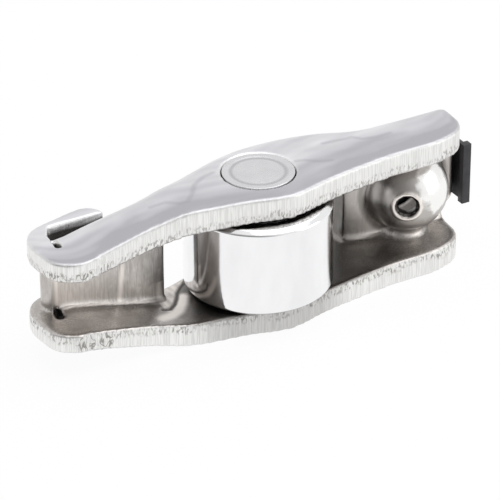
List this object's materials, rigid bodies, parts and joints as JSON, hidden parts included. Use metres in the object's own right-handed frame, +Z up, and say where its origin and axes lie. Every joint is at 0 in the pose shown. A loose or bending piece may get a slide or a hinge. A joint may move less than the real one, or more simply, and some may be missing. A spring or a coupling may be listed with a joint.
{
  "type": "roller rocker arm",
  "caption": "Stamped steel finger rocker with a needle-bearing cam roller, a valve pallet between guide lips and a ball socket with a spring clip.",
  "frame": {"origin": "on the roller's axis, at the lower end face of its axle, on which the arm lies", "axes": "+Z up, along the roller's axis; +X along the arm to the ball socket end; +Y towards the valve and the lash adjuster, -Y towards the cam"},
  "size_m": [0.0567, 0.017, 0.0171],
  "materials": {
    "stamped_steel": "satin",
    "bearing_steel": "polished",
    "spring_steel": "satin"
  },
  "bodies": {
    "arm": {"arm_body": "stamped_steel", "axle": "bearing_steel", "retaining_clip": "spring_steel"},
    "roller": {"roller": "bearing_steel"},
    "needle_set": {"needle_01": "bearing_steel", "needle_02": "bearing_steel", "needle_03": "bearing_steel", "needle_04": "bearing_steel", "needle_05": "bearing_steel", "needle_06": "bearing_steel", "needle_07": "bearing_steel", "needle_08": "bearing_steel", "needle_09": "bearing_steel", "needle_10": "bearing_steel", "needle_11": "bearing_steel", "needle_12": "bearing_steel", "needle_13": "bearing_steel", "needle_14": "bearing_steel", "needle_15": "bearing_steel", "needle_16": "bearing_steel"}
  },
  "joints": [
    {"name": "roller_spin", "type": "hinge", "parent": "arm", "child": "roller", "pos_m": [0, 0, 0.00855], "axis": [0, 0, 1], "continuous": true},
    {"name": "needle_orbit", "type": "hinge", "parent": "arm", "child": "needle_set", "pos_m": [0, 0, 0.00855], "axis": [0, 0, 1], "continuous": true}
  ],
  "couplings": [
    {"joint": "needle_orbit", "follows": "roller_spin", "ratio": 0.5977}
  ]
}
